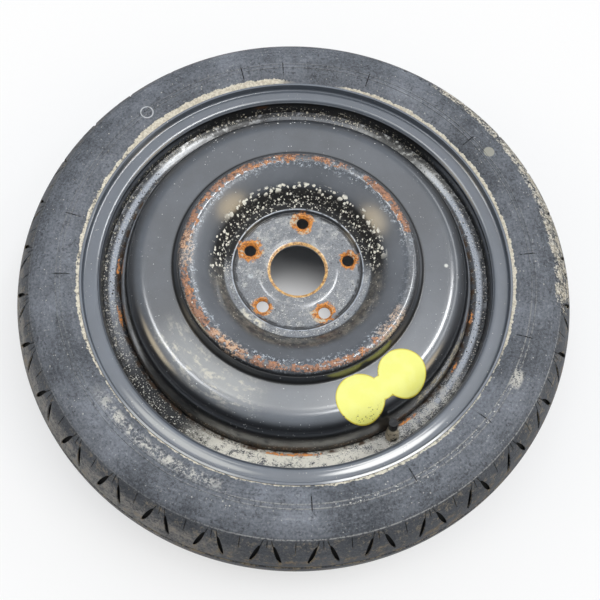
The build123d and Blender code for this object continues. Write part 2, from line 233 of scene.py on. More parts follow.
def placed_cutter(angle, around, lean, floor_depth, width, length, leaf):
    object_mode()
    if leaf:
        bpy.ops.mesh.primitive_cylinder_add(vertices=18, radius=0.5, depth=1)
    else:
        bpy.ops.mesh.primitive_cube_add(size=1)
    cutter = bpy.context.object
    height = floor_depth + overhang
    bpy.ops.object.mode_set(mode="EDIT")
    bpy.ops.transform.resize(value=(length * mm, width * mm, height * mm))
    bpy.ops.transform.rotate(value=radians(-lean), orient_axis="Z", center_override=(0, 0, 0))
    bpy.ops.object.mode_set(mode="OBJECT")
    out, above = on_tread(angle, floor_depth - height / 2)
    turn = radians(around - segment_start)
    cutter.rotation_euler = (0, radians(90 - angle), turn)
    cutter.location = Vector((out * cos(turn), out * sin(turn), above)) * mm
    bpy.ops.object.transform_apply()
    return cutter


# Depth, width and length of each kind of cut
slot_angle, slot_lean, slot_size = 29, 16, (4, 4.8, 30)
fan_angle, fan_lean, fan_size = 40.5, 14, (1.6, 0.8, 12)
single_angle, single_size = 38, (1.6, 0.8, 17)
segment = turned("tread_segment", half_section, 8, pitch)
cutters = [
    placed_cutter(slot_angle, 6.1, -slot_lean, *slot_size, True),
    placed_cutter(slot_angle, 10.4, slot_lean, *slot_size, True),
    placed_cutter(fan_angle, 7.2, -fan_lean, *fan_size, False),
    placed_cutter(fan_angle, 8.25, 0, *fan_size, False),
    placed_cutter(fan_angle, 9.3, fan_lean, *fan_size, False),
    placed_cutter(single_angle, 2.9, 0, *single_size, False),
]
cut(segment, joined("tread_cutters", cutters), crossing=True)
print("one tread segment with its slots:", len(segment.data.polygons), "faces")

# %% [markdown]
# The sector still has its two end faces and the face at the middle plane. Inside a whole tyre they would be
# hidden walls. They are found by their place and deleted, so that the segment is open where its
# neighbours join it.

# %% Open ends of the segment
flat = 1e-6


def on_segment_end(face):
    across = Vector((-sin(radians(pitch)), cos(radians(pitch)), 0))
    points = [segment.data.vertices[index].co for index in face.vertices]
    first_end = max(abs(point.y) for point in points)
    last_end = max(abs(point.dot(across)) for point in points)
    middle_plane = max(abs(point.z - middle * mm) for point in points)
    return min(first_end, last_end, middle_plane) < flat


pick(segment)
bpy.ops.object.mode_set(mode="EDIT")
bpy.ops.mesh.select_mode(type="FACE")
bpy.ops.mesh.select_all(action="DESELECT")
bpy.ops.object.mode_set(mode="OBJECT")
for face in segment.data.polygons:
    face.select = on_segment_end(face)
bpy.ops.object.mode_set(mode="EDIT")
bpy.ops.mesh.delete(type="FACE")
bpy.ops.mesh.select_mode(type="VERT")
bpy.ops.object.mode_set(mode="OBJECT")
print("one open tread segment:", len(segment.data.polygons), "faces")

# %% [markdown]
# An Array whose offset is a turned empty repeats the segment around the axis. The tyre's other half is
# the same half mirrored at the middle plane and turned by half a pitch, as on the real mould, so that the
# slots of the two shoulders alternate and the tyre runs quietly.

# %% Tyre
def smooth(piece, angle=35):
    pick(piece)
    bpy.ops.object.shade_smooth_by_angle(angle=radians(angle))
    print(piece.name, len(piece.data.polygons), "faces")


def stands_for(piece, node, body):
    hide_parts(node)
    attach(piece, body)


seam_reach = 0.01 * mm
object_mode()
bpy.ops.object.empty_add(rotation=(0, 0, radians(pitch)))
pitch_turn = bpy.context.object
pick(segment)
bpy.ops.object.modifier_add(type="ARRAY")
ring = segment.modifiers[-1]
ring.count = pitches
ring.use_relative_offset = False
ring.use_object_offset = True
ring.offset_object = pitch_turn
bpy.ops.object.modifier_apply(modifier=ring.name)
pick(pitch_turn)
bpy.ops.object.delete()
segment.rotation_euler = (0, 0, radians(segment_start))
pick(segment)
bpy.ops.object.transform_apply()
bpy.ops.object.duplicate()
inner_half = bpy.context.selected_objects[0]
pick(inner_half)
bpy.ops.object.mode_set(mode="EDIT")
bpy.ops.mesh.select_all(action="SELECT")
bpy.ops.transform.resize(value=(1, 1, -1), center_override=(0, 0, middle * mm))
bpy.ops.transform.rotate(value=radians(pitch / 2), orient_axis="Z", center_override=(0, 0, 0))
bpy.ops.object.mode_set(mode="OBJECT")
tyre = joined("tyre_casing", [segment, inner_half])
bpy.ops.object.mode_set(mode="EDIT")
bpy.ops.mesh.select_all(action="SELECT")
bpy.ops.mesh.remove_doubles(threshold=seam_reach)
bpy.ops.mesh.normals_make_consistent(inside=False)
bpy.ops.object.mode_set(mode="OBJECT")
smooth(tyre, 32)
stands_for(tyre, "tyre", "wheel")

# %% [markdown]
# The rim is one strip of steel, rolled into a hoop and formed into two curled lips, two tapered seats for
# the tyre's beads and a well between them. It is drawn as a bent sheet along the side that the tyre
# touches, from the outer lip down to the inner lip, and turned in one go. A drill opens the valve hole.

# %% Rim
rim_line = [
    (235.6, 12.0), (235.6, 1.6), (227.0, 0.3), (218.3, 1.2), (216.64, -18.2), (197.9, -21.84),
    (197.9, -67.8), (216.64, -81.8), (218.3, -101.2), (227.0, -100.3), (235.6, -101.6), (235.6, -112.0),
]
rim_bends, rim_sheet = [5, 5, 4.2, 3, 3, 6, 4, 4.2, 5, 5], 2.4
round_steps = 256
rim = turned("rim_hoop", bent_sheet(rim_line, rim_bends, rim_sheet), round_steps)
valve_place = Vector((118.345, -167.145, -18.056))
valve_turn = (0, radians(-11), radians(305.3))
valve_hole_radius = 5.65
object_mode()
bpy.ops.mesh.primitive_cylinder_add(
    vertices=32, radius=valve_hole_radius * mm, depth=9 * mm, location=valve_place * mm, rotation=valve_turn
)
cut(rim, bpy.context.object)
smooth(rim)
stands_for(rim, "rim", "wheel")

# %% [markdown]
# The disc is a single deep pressing: a flat pad with the bolt holes, a step and a bowl around it, a
# rounded crest, a flat ring, and a shoulder that turns down into the skirt inside the rim. It is again
# one bent sheet. The bolt holes are cut with one turned cutter, copied five times: a pin for the hole,
# a cone for the nut's seat and a wide head for the pocket that clears the nut in the step.

# %% Wheel disc
disc_line = [
    (30.05, 4.8), (41.9, 4.8), (45.1, 4.0), (67.6, 4.0), (71.8, 8.2), (79.8, 8.2), (98.0, 26.8),
    (121.3, 39.2), (129.5, 34.0), (135.0, 23.8), (181.5, 25.2), (195.45, -12.5), (195.45, -46.0),
]
disc_bends, disc_sheet = [1.2, 1.2, 0.8, 1.4, 3.5, 16, 6.2, 3, 2, 22, 8], 4.0
disc = turned("disc_pressing", bent_sheet(disc_line, disc_bends, disc_sheet), round_steps)
coin = turned("bore_coin", [(0, 3.2), (30.05, 3.2), (33.15, 4.82), (33.15, 8), (0, 8)], 128)
cut(disc, coin)
lug_section = [(0, -2), (6.6, -2), (6.6, 1.8), (8.8, 4.03), (13.4, 4.03), (13.4, 9), (0, 9)]
lug_circle_radius, lug_count, first_lug = 57.15, 5, 18.5
lug_angles = [first_lug + 360 / lug_count * number for number in range(lug_count)]
lugs = []
for lug_angle in lug_angles:
    lug = turned("lug_cutter", lug_section, 40)
    angle = radians(lug_angle)
    lug.location = Vector((cos(angle), sin(angle), 0)) * lug_circle_radius * mm
    pick(lug)
    bpy.ops.object.transform_apply()
    lugs.append(lug)
cut(disc, joined("lug_cutters", lugs))
smooth(disc)
stands_for(disc, "wheel_disc", "wheel")

# %% [markdown]
# The yellow sticker is a thin film that follows the flat ring and rolls over the shoulder. It is cut out
# as a film is: a band of the disc's own line, a hair above the paint, is trimmed to an outline of two
# discs and a neck. The outline is made of two cylinders and a box that are united first.

# %% Sticker
film_thickness, film_steps, film_sweep, film_start = 0.3, 64, 56, 280.2
sticker_circle, sticker_disc_radius = 162, 25.6
sticker_angles, neck_place = (299.0, 317.4), 308.2
outline_height, outline_depth, neck_size = 0.02, 0.1, (25 * mm, 36 * mm, 0.11)


def over_film(angle):
    angle = radians(angle)
    return (sticker_circle * mm * cos(angle), sticker_circle * mm * sin(angle), outline_height)


film_line = [(137, 23.91), (181.55, 25.25), (195.5, -12.5)]
sticker = turned("sticker_film", bent_sheet(film_line, [22], -film_thickness), film_steps, film_sweep)
sticker.rotation_euler = (0, 0, radians(film_start))
pick(sticker)
bpy.ops.object.transform_apply()
outline = None
for angle in sticker_angles:
    object_mode()
    bpy.ops.mesh.primitive_cylinder_add(
        vertices=96, radius=sticker_disc_radius * mm, depth=outline_depth, location=over_film(angle)
    )
    bpy.ops.object.transform_apply()
    if outline:
        cut(outline, bpy.context.object, "UNION")
    else:
        outline = bpy.context.object
object_mode()
bpy.ops.mesh.primitive_cube_add(size=1, location=over_film(neck_place))
neck = bpy.context.object
neck.scale = neck_size
neck.rotation_euler = (0, 0, radians(neck_place))
bpy.ops.object.transform_apply()
cut(outline, neck, "UNION")
cut(sticker, outline, "INTERSECT")
smooth(sticker)
stands_for(sticker, "speed_sticker", "wheel")

# %% [markdown]
# The valve is a rubber stem that snaps into the rim's ledge. It has a fat foot outside the hole, a neck in
# it and a bulb behind it, and leans towards the axis with the ledge. It is turned upright at the
# origin and then carried to its place by one turn and one move.

# %% Valve stem
def carry_to_valve(piece):
    piece.location = valve_place * mm
    piece.rotation_euler = valve_turn
    pick(piece)
    bpy.ops.object.transform_apply()


stem_line = [(3.22, -9.5), (5.5, -9.5), (7, -4), (7, -2.5), (5.55, -2.5)]
stem_line += [(5.55, 0.1), (7.4, 0.1), (7.4, 5), (5, 22.5), (3.22, 22.5)]
stem_section = bent_line(stem_line, [0.5, 0.8, 0.3, 0.3, 0.3, 1.2, 2.2, 0.6])
stem = turned("valve_stem_rubber", stem_section, 48)
carry_to_valve(stem)
smooth(stem)
stands_for(stem, "valve_stem", "wheel")

# %% [markdown]
# The cap is a hollow moulding with a dished top and small ribs for the fingers. One rib is a thin box,
# repeated around the cap by copies that are turned a little further each time.

# %% Valve cap
cap_line = [(0, 35.4), (2.4, 36), (4.75, 36), (4.75, 22.8), (3.95, 22.8), (3.95, 34.4), (0, 34.4)]
cap = turned("valve_cap_shell", bent_line(cap_line, [0.4, 0.6, 0.2, 0, 0]), 48)
rib_count, rib_circle, rib_height, rib_size = 18, 4.72, 28, (0.5, 0.7, 9.5)
cap_pieces = [cap]
for number in range(rib_count):
    angle = radians(360 / rib_count * number)
    object_mode()
    rib_place = Vector((rib_circle * cos(angle), rib_circle * sin(angle), rib_height)) * mm
    bpy.ops.mesh.primitive_cube_add(size=1, location=rib_place, rotation=(0, 0, angle))
    bpy.context.object.scale = Vector(rib_size) * mm
    bpy.ops.object.transform_apply()
    cap_pieces.append(bpy.context.object)
cap = joined("valve_cap_shell", cap_pieces)
carry_to_valve(cap)
smooth(cap)
stands_for(cap, "valve_cap", "cap")

# %% [markdown]
# Inside the valve a coil of thin steel wire holds the pin up. On the real spring the wire is wound around a
# rod, so here a small circle is screwed up around the valve's axis. In the real valve its foot stays in the
# plug and its head follows the pin's collar, which shortens the coil when the pin is pressed.

# %% Valve spring
wire_radius, coil_radius = 0.15, 0.95
coil_foot, coil_height, coil_turns = 15.2, 9.6, 5
object_mode()
coil_start = Vector((coil_radius, 0, coil_foot)) * mm
bpy.ops.mesh.primitive_circle_add(
    vertices=8, radius=wire_radius * mm, location=coil_start, rotation=(radians(90), 0, 0)
)
spring = bpy.context.object
spring.name = spring.data.name = "valve_spring_wire"
bpy.ops.object.transform_apply()
bpy.ops.object.modifier_add(type="SCREW")
screw = spring.modifiers[-1]
screw.steps = screw.render_steps = 16
screw.iterations = coil_turns
screw.screw_offset = coil_height / coil_turns * mm
bpy.ops.object.modifier_apply(modifier=screw.name)
bpy.ops.object.mode_set(mode="EDIT")
bpy.ops.mesh.select_all(action="SELECT")
bpy.ops.mesh.fill_holes(sides=0)
bpy.ops.mesh.normals_make_consistent(inside=False)
object_mode()
spring.location = valve_place * mm
spring.rotation_euler = valve_turn
bpy.context.view_layer.update()
pick(spring)
bpy.ops.object.transform_apply()
smooth(spring)
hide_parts("valve_core_spring")
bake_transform(spring)

# %% [markdown]
# Finishes are formulas of the place on the wheel, so a small class lets a shader's sockets be added and
# multiplied like numbers. A second class holds one material while it is painted: it starts with a base
# coat, and each layer of dust, rust or dirt covers what is below where its mask is one.

# %% Arithmetic for shaders
def operator(operation, swapped=False):
    def work_out(self, other):
        return self.graph.math(operation, *((other, self) if swapped else (self, other)))

    return work_out


class Val:
    """One output of a shader's node, with arithmetic."""

    __add__, __radd__ = operator("ADD"), operator("ADD", True)
    __sub__, __rsub__ = operator("SUBTRACT"), operator("SUBTRACT", True)
    __mul__, __rmul__ = operator("MULTIPLY"), operator("MULTIPLY", True)
    __truediv__, __pow__ = operator("DIVIDE"), operator("POWER")

    def __init__(self, graph, socket):
        self.graph = graph
        self.socket = socket

    def __abs__(self):
        return self.graph.math("ABSOLUTE", self)

    def most(self, other):
        return self.graph.math("MAXIMUM", self, other)

    def rise(self, start, end):
        """0 at start, 1 at end, eased between; start may be the larger one."""
        sockets = {"Value": self, "From Min": start, "From Max": end}
        return self.graph.node("ShaderNodeMapRange", {"interpolation_type": "SMOOTHSTEP"}, sockets)


class Graph:
    """The nodes of a material or a world."""

    def __init__(self, owner):
        owner.use_nodes = True
        self.tree = owner.node_tree
        self.tree.nodes.clear()

    def node(self, kind, settings=None, sockets=None, out=0):
        made = self.tree.nodes.new(kind)
        for name, value in (settings or {}).items():
            setattr(made, name, value)
        for name, value in (sockets or {}).items():
            if isinstance(value, Val):
                self.tree.links.new(value.socket, made.inputs[name])
            elif value is not None:
                made.inputs[name].default_value = value
        return Val(self, made.outputs[out]) if len(made.outputs) else made

    def math(self, operation, first, second=None):
        return self.node("ShaderNodeMath", {"operation": operation}, {0: first, 1: second})

    def mix(self, below, above, share):
        return self.node("ShaderNodeMix", {"data_type": "RGBA"}, {0: share, 6: below, 7: above}, 2)

    def dot(self, vector, direction):
        sockets = {0: vector, 1: direction}
        return self.node("ShaderNodeVectorMath", {"operation": "DOT_PRODUCT"}, sockets, "Value")


def shade(red, green, blue):
    """A colour as a picture shows it, 0 to 255, in the linear values that a shader takes."""
    shares = [value / 255 for value in (red, green, blue)]
    return tuple(((v + 0.055) / 1.055) ** 2.4 if v > 0.04 else v / 12.92 for v in shares) + (1,)


print("mid grey in a shader:", round(shade(128, 128, 128)[0], 3))

# %% [markdown]
# A wheel is painted by radius, height and angle. The angle is never worked out: the cosine of the angle
# to a given direction says how near a point is to it, and needs no seam. Specks come from Voronoi cells:
# every cell holds one dot, and the cell's own random value decides how large it is, or that it is missing.

# %% A finish in polar places
middle_radius, coat_ior = 270, 2.0


class Finish(Graph):
    def __init__(self, name, color, rough, coat=0.0):
        self.material = bpy.data.materials.new(name)
        super().__init__(self.material)
        self.color, self.rough, self.coat = color, rough, coat
        self.height = None
        self.place = self.node("ShaderNodeTexCoord", out="Object")
        self.x = self.dot(self.place, (1000, 0, 0))
        self.y = self.dot(self.place, (0, 1000, 0))
        self.z = self.dot(self.place, (0, 0, 1000))
        self.r = (self.x * self.x + self.y * self.y) ** 0.5

    def toward(self, angle):
        """The cosine of the angle between a place and a direction from the axis."""
        return (self.x * cos(radians(angle)) + self.y * sin(radians(angle))) / self.r

    def sector(self, first, last, soft=6):
        """One between two angles in degrees, with soft ends."""
        half = (last - first) / 2
        near, far = cos(radians(max(half - soft, 0))), cos(radians(min(half + soft, 180)))
        return self.toward((first + last) / 2).rise(far, near)

    def band(self, low, high, soft=1.0, value=None):
        """One between two radii in millimetres, or between two values of something else."""
        value = self.r if value is None else value
        return value.rise(low - soft, low + soft) * value.rise(high + soft, high - soft)

    def noise(self, size, detail=3.0, rough=0.55):
        sockets = {"Vector": self.place, "Scale": 1000 / size, "Detail": detail, "Roughness": rough}
        return self.node("ShaderNodeTexNoise", None, sockets)

    def streaks(self, along, across, detail=3.0):
        """Noise drawn out around the wheel, along and across in millimetres."""
        turn = middle_radius / along
        axes = {0: self.x / self.r * turn, 1: self.y / self.r * turn, 2: self.r / across}
        drawn = self.node("ShaderNodeCombineXYZ", None, axes)
        sockets = {"Vector": drawn, "Scale": 1.0, "Detail": detail, "Roughness": 0.6}
        return self.node("ShaderNodeTexNoise", None, sockets)

    def specks(self, size, share, largest=0.5, soft=0.12):
        """Ragged dots in a share of the cells, the largest with that share of a cell as its radius."""
        sockets = {"Vector": self.place, "Scale": 1800 / size, "Detail": 1.0}
        ragged = self.node("ShaderNodeTexNoise", None, sockets, "Color")
        shift = {0: ragged, 1: (0.55 * size * mm,) * 3, 2: self.place}
        bent = self.node("ShaderNodeVectorMath", {"operation": "MULTIPLY_ADD"}, shift)
        cells = self.node("ShaderNodeTexVoronoi", None, {"Vector": bent, "Scale": 1000 / size}, "Distance")
        tint = Val(self, cells.socket.node.outputs["Color"])
        chance = self.node("ShaderNodeSeparateColor", None, {0: tint})
        reach = (chance - (1 - share)) * (largest / share)
        return (reach - cells).rise(0, soft)

    def spot(self, angle, radius, size, soft=0.6):
        """A round spot of the given radius around a place on the wheel's face."""
        across = self.x - radius * cos(radians(angle))
        along = self.y - radius * sin(radians(angle))
        return ((across * across + along * along) ** 0.5).rise(size + soft, size - soft)

    def over(self, below, above, mask):
        same = not isinstance(below, Val) and below == above
        return below if same else mask * (above - below) + below

    def layer(self, mask, color, rough, coat=0.0, lift=0.0):
        self.color = self.mix(self.color, color, mask)
        self.rough = self.over(self.rough, rough, mask)
        self.coat = self.over(self.coat, coat, mask)
        if lift:
            self.height = mask * lift + (self.height or 0.0)

    def tell(self):
        print("finish", self.material.name, len(self.tree.nodes), "nodes")

    def done(self, metallic=0.0, gloss=0.5, haze=0.05):
        sockets = {
            "Base Color": self.color, "Roughness": self.rough, "Coat Weight": self.coat,
            "Metallic": metallic, "Specular IOR Level": gloss,
            "Coat Roughness": haze, "Coat IOR": coat_ior,
        }
        if self.height is not None:
            bump = {"Height": self.height, "Strength": 1.0, "Distance": mm}
            sockets["Normal"] = self.node("ShaderNodeBump", None, bump)
        shader = self.node("ShaderNodeBsdfPrincipled", None, sockets)
        self.node("ShaderNodeOutputMaterial", None, {"Surface": shader})
        self.tell()
        return self.material


def dress(piece, material):
    piece.data.materials.clear()
    piece.data.materials.append(material)


print("painter:", ", ".join(name for name in vars(Finish) if not name.startswith("_")))

# %% [markdown]
# The paint is a thin black enamel that has kept its gloss, under a film of fine dust. On the disc, rust
# has broken through along the crest and around the bolt holes, where nuts and damp have worn it. Dried
# splashes sit as pale crumbs on the bowl's wall, and the pad that rests on the hub is scuffed grey. A paler
# band on the bowl's upper wall and a bluish film on the near side of the flat ring are painted sheen.

# %% Paint of the disc
def mottles(f):
    """Noise of a painted sheet at four sizes: clouds, patches, fine mottle and grain."""
    return f.noise(45, 4), f.noise(9, 4, 0.6), f.noise(3.2, 3, 0.6), f.noise(1.2, 2)


rust_dark, rust_mid, rust_bright = shade(98, 73, 61), shade(166, 121, 95), shade(228, 150, 78)
cream, crust, chip = shade(246, 242, 228), shade(220, 216, 204), shade(196, 203, 211)
f = Finish("disc_paint", shade(15, 16, 18), rough=0.3, coat=1.0)
clouds, patches, fine, grain = mottles(f)
open_film = f.r.rise(86, 98) * (1 - f.band(124, 137, 2)) * f.r.rise(186, 168) * 0.85 + 0.15
f.layer(
    (clouds.rise(0.3, 0.75) * 0.3 + grain * 0.25 + 0.16) * open_film,
    shade(86, 92, 101), rough=0.42, coat=0.9,
)
f.layer(
    f.r.rise(100, 90) * f.r.rise(78, 84) * (1 - f.sector(4, 186, 14))
    * (patches * 0.7 + fine * 0.5).rise(0.45, 0.8) * 0.7,
    shade(134, 128, 116), rough=0.6, coat=0.5,
)
dusty = f.sector(218, 256, 10) * f.band(140, 172, 8)
# Painted sheen: a pale bluish film over the near side of the flat ring.
f.layer(f.sector(250, 350, 14) * f.band(140, 176, 6) * 0.14, shade(170, 176, 184), rough=0.45, coat=0.95)
# Painted sheen: a paler band on the bowl's upper wall, below the crest.
f.layer(f.band(97, 113, 4) * (clouds * 0.3 + 0.08), shade(140, 143, 148), rough=0.45, coat=0.9)
f.layer(dusty * 0.4, shade(170, 172, 172), rough=0.5, coat=0.9)
f.layer(
    dusty * (f.streaks(30, 5) * 0.7 + fine * 0.4).rise(0.52, 0.7) * 0.7,
    shade(214, 208, 190), rough=0.7, coat=0.4,
)
f.layer(f.band(100, 190, 6) * patches.rise(0.42, 0.7) * f.specks(1.5, 0.1), shade(206, 207, 206), rough=0.8)
f.layer(f.band(173, 180, 1.5) * f.sector(58, 132, 8) * f.specks(2.4, 0.16), shade(226, 226, 222), rough=0.8)
f.tell()

# %% [markdown]
# The pad is clamped against a hub, so its paint is rubbed grey, with pale and dark specks. Its step has a
# painted highlight along the top edge and painted shade at the foot. The wear is held to the pad by its
# radius and height. The foot of the bowl's far half is painted near black and matte.

# %% Scuffed pad, painted highlight and shade at the step
far_side = f.sector(4, 186, 12)
# The foot of the bowl's far half is painted near black and matte.
f.layer(f.band(72, 93, 2.5) * far_side * 0.95, shade(16, 15, 15), rough=0.85)
pad = f.r.rise(69.5, 68.5) * f.z.rise(9.5, 8.5)
scuffed = pad.most(f.band(71, 80, 0.8) * f.z.rise(10, 8.8) * (1 - far_side))
f.layer(
    scuffed * (grain.rise(0.3, 0.7) * 0.4 + clouds * 0.5 + 0.1),
    shade(136, 140, 146), rough=0.45, coat=0.6,
)
f.layer(
    scuffed * patches.rise(0.48, 0.68) * grain.rise(0.36, 0.52) * 0.5,
    shade(204, 202, 194), rough=0.7, coat=0.2,
)
f.layer(
    pad * f.sector(-14, 200, 16) * (patches * 0.5 + fine * 0.5).rise(0.44, 0.62) * 0.3,
    shade(192, 192, 190), rough=0.6, coat=0.4,
)
f.layer(scuffed * patches.rise(0.34, 0.55) * f.specks(1.5, 0.35), shade(212, 212, 208), rough=0.75)
f.layer(scuffed * f.specks(2.6, 0.2), shade(40, 42, 46), rough=0.5, coat=0.6)
# Painted shade: a broken dark line at the foot of the pad's step.
f.layer(
    f.band(66.0, 68.6, 0.8) * f.z.rise(7, 6) * patches.rise(0.36, 0.52),
    shade(24, 24, 26), rough=0.5, coat=0.4,
)
# Painted highlight: a pale bluish line along the top edge of the step.
f.layer(
    f.band(70.9, 72.4, 0.4) * f.z.rise(7.4, 7.9) * patches.rise(0.34, 0.5) * 0.8,
    shade(190, 197, 207), rough=0.4, coat=0.6,
)
f.layer(f.spot(195, 52, 2.6, 1.6) * fine.rise(0.4, 0.5), shade(196, 200, 202), rough=0.8, lift=0.2)
f.tell()

# %% [markdown]
# The crest is what scrapes along a boot's floor, so rust breaks through there in patches, beside chips of
# bare metal. A band is made ragged by adding noise to the radius before it is measured. The nuts have
# worn the bolt seats to orange rust, and the coined edge of the bore too.

# %% Rust on the crest and the bolt seats
places = f.sector(66, 184, 6).most(f.sector(186, 332, 6)).most(f.sector(18, 62, 6)) * 0.75 + 0.25
ragged = f.r + (patches - 0.5) * 13 + (fine - 0.5) * 7
mottle = patches * 0.7 + fine * 0.55 + (f.noise(24, 2) - 0.5) * 0.5
rust_tint = f.mix(rust_dark, rust_mid, fine.rise(0.38, 0.56))
rust_tint = f.mix(rust_tint, rust_bright, (patches * 0.5 + grain * 0.5).rise(0.54, 0.64))
f.layer(
    f.band(113, 127, 2.5, ragged) * places * patches.rise(0.36, 0.6)
    * (fine * 0.6 + grain * 0.4).rise(0.48, 0.58) * 0.9,
    chip, rough=0.5, coat=0.4,
)
f.layer(
    (f.band(117, 128, 2.5, ragged) * places * mottle).rise(0.53, 0.63) * 0.92,
    rust_tint, rough=0.9, lift=0.25,
)
f.layer(
    f.band(113, 127, 2) * places * patches.rise(0.42, 0.62) * f.specks(2.0, 0.4),
    shade(214, 218, 222), rough=0.6, coat=0.2,
)
f.layer(f.band(114, 125, 2) * places * patches.rise(0.56, 0.4) * f.specks(2.6, 0.2), cream, rough=0.85)
pale_rust = f.sector(174, 188, 6).most(f.sector(232, 246, 6)).most(f.sector(322, 336, 6))
f.layer(
    f.band(115, 127, 2, ragged) * pale_rust * (fine * 0.6 + grain * 0.4).rise(0.46, 0.56) * 0.75,
    shade(222, 190, 160), rough=0.85,
)
# Painted shade: a dark line in the crease between the crest and the flat ring.
f.layer(f.band(133.0, 136.4, 0.9), shade(15, 15, 16), rough=0.6, coat=0.3)
seats = None
for angle, size in zip(lug_angles, (11.5, 13, 14, 10.5, 12)):
    near = f.spot(angle, lug_circle_radius, size, 7)
    seats = near if seats is None else seats.most(near)
seat_tint = f.mix(shade(150, 92, 50), shade(230, 150, 62), (grain * 0.5 + fine * 0.5).rise(0.4, 0.58))
seat_tint = f.mix(seat_tint, shade(196, 184, 160), (patches * 0.6 + fine * 0.4).rise(0.53, 0.6))
f.layer(
    (seats + (patches - 0.5) * 2.2).rise(0.4, 0.62) * seats.rise(0.02, 0.25),
    seat_tint, rough=0.8, coat=0.1, lift=0.2,
)
bore_tint = f.mix(shade(142, 86, 42), shade(246, 200, 120), (fine * 0.6 + grain * 0.4).rise(0.38, 0.62))
f.layer(f.r.rise(33.6, 32.8) * f.z.rise(2.4, 3.2), bore_tint, rough=0.45, coat=0.4)
f.tell()

# %% [markdown]
# Dirty water ran down the bowl's far wall and dried in crumbs, the largest at the top. Three sizes of
# specks overlap, and the larger ones also lift the surface, because they have a shaded side. Brown dirt
# fills the corner between the skirt and the rim.

# %% Crumbs of dried dirt in the bowl
wall = f.sector(6, 194, 9)
f.layer(
    wall * f.band(73, 88, 3) * patches.rise(0.3, 0.55) * f.specks(1.8, 0.6, 0.62),
    shade(220, 216, 204), rough=0.9,
)
f.layer(wall * f.band(80, 95, 2.5) * f.specks(3.2, 0.5, 0.7), cream, rough=0.9, lift=0.6)
f.layer(f.sector(14, 150, 6) * f.band(90.5, 96.8, 1.4) * f.specks(5.8, 0.9, 0.82), cream, rough=0.9, lift=1.2)
f.layer(
    f.sector(228, 246, 6) * f.band(73, 80, 2) * patches.rise(0.42, 0.58),
    shade(214, 208, 190), rough=0.85, lift=0.2,
)
f.layer((1 - far_side) * f.band(80, 96, 3) * f.specks(1.8, 0.16), shade(176, 170, 156), rough=0.85)
f.layer(f.spot(5.5, 160, 2.0, 1.0) * fine.rise(0.36, 0.46), shade(222, 222, 216), rough=0.8, lift=0.2)
skirt_dirt = f.band(188, 196, 2) * f.z.rise(-30, -24) * (patches * 0.6 + fine * 0.5)
f.layer((skirt_dirt * f.sector(314, 350, 5)).rise(0.5, 0.62), shade(176, 168, 148), rough=0.9, lift=0.4)
skirt_foot = f.band(190, 197, 2) * f.z.rise(-4, -12) * f.sector(190, 345, 12)
f.layer(skirt_foot * (0.5 + patches * 0.6), shade(30, 27, 24), rough=0.85)
f.layer(skirt_foot * (patches * 0.5 + grain * 0.5).rise(0.5, 0.58) * 0.8, shade(98, 80, 58), rough=0.9)
f.layer(skirt_foot * f.specks(1.7, 0.3), shade(184, 178, 164), rough=0.9)
dress(disc, f.done(haze=0.16))

# %% [markdown]
# On the rim, water stands on the ledge below the bead seat and leaves a crust of pale dirt, thickest at
# the near side, with brown rust in the groove against the disc. The lip's gutter stays clean and glossy,
# under a bluish painted sheen with a painted highlight along its inner corner. Parts of the ledge get a
# painted sheen, with painted shade beside the groove and in a patch on the far side.

# %% Paint of the rim
f = Finish("rim_paint", shade(15, 16, 18), rough=0.28, coat=1.0)
clouds, patches, fine, grain = mottles(f)
rust_tint = f.mix(rust_mid, rust_bright, fine.rise(0.4, 0.6))
seat_wall = f.band(213.5, 217, 1) * f.z.rise(1.0, -1.0)
f.layer(
    (clouds.rise(0.3, 0.75) * 0.25 + grain * 0.15 + 0.12) * (1 - seat_wall * 0.9),
    shade(84, 91, 102), rough=0.4, coat=0.95,
)
# Painted sheen: a pale bluish film on the gutter.
f.layer(f.r.rise(216, 220) * f.z.rise(-3, 0) * 0.16, shade(150, 164, 184), rough=0.35, coat=1.0)
# Painted highlight: a pale line along the gutter's rounded inner corner.
f.layer(
    f.band(214.9, 217.0, 0.6) * f.band(0.2, 2.8, 0.5, f.z) * (clouds * 0.6 + 0.2),
    shade(168, 176, 188), rough=0.25, coat=1.0,
)
ledge = f.r.rise(214.8, 213.6) * f.z.rise(-24, -22)
# Painted sheen: in these sectors the ledge's inner part is painted pale and bluish.
painted_sheen_sectors = f.sector(-44, 48, 9).most(f.sector(128, 196, 9))
f.layer(
    ledge * painted_sheen_sectors * f.r.rise(211, 206) * (grain.rise(0.3, 0.65) * 0.5 + 0.42),
    shade(178, 185, 196), rough=0.4, coat=0.8,
)
# Painted shade: dark paint at the ledge's inner edge beside the groove, in the sheen's sectors.
f.layer(ledge * painted_sheen_sectors * f.r.rise(203.5, 201.5) * 0.85, shade(18, 18, 19), rough=0.7)
f.layer(ledge * f.r.rise(207, 210.5) * patches.rise(0.3, 0.5) * 0.8, shade(20, 20, 21), rough=0.8)
f.layer(ledge * patches.rise(0.36, 0.56) * f.specks(1.8, 0.6, 0.55), shade(206, 202, 192), rough=0.85)
f.layer(ledge * f.specks(2.4, 0.35, 0.55), shade(20, 20, 22), rough=0.6, coat=0.4)
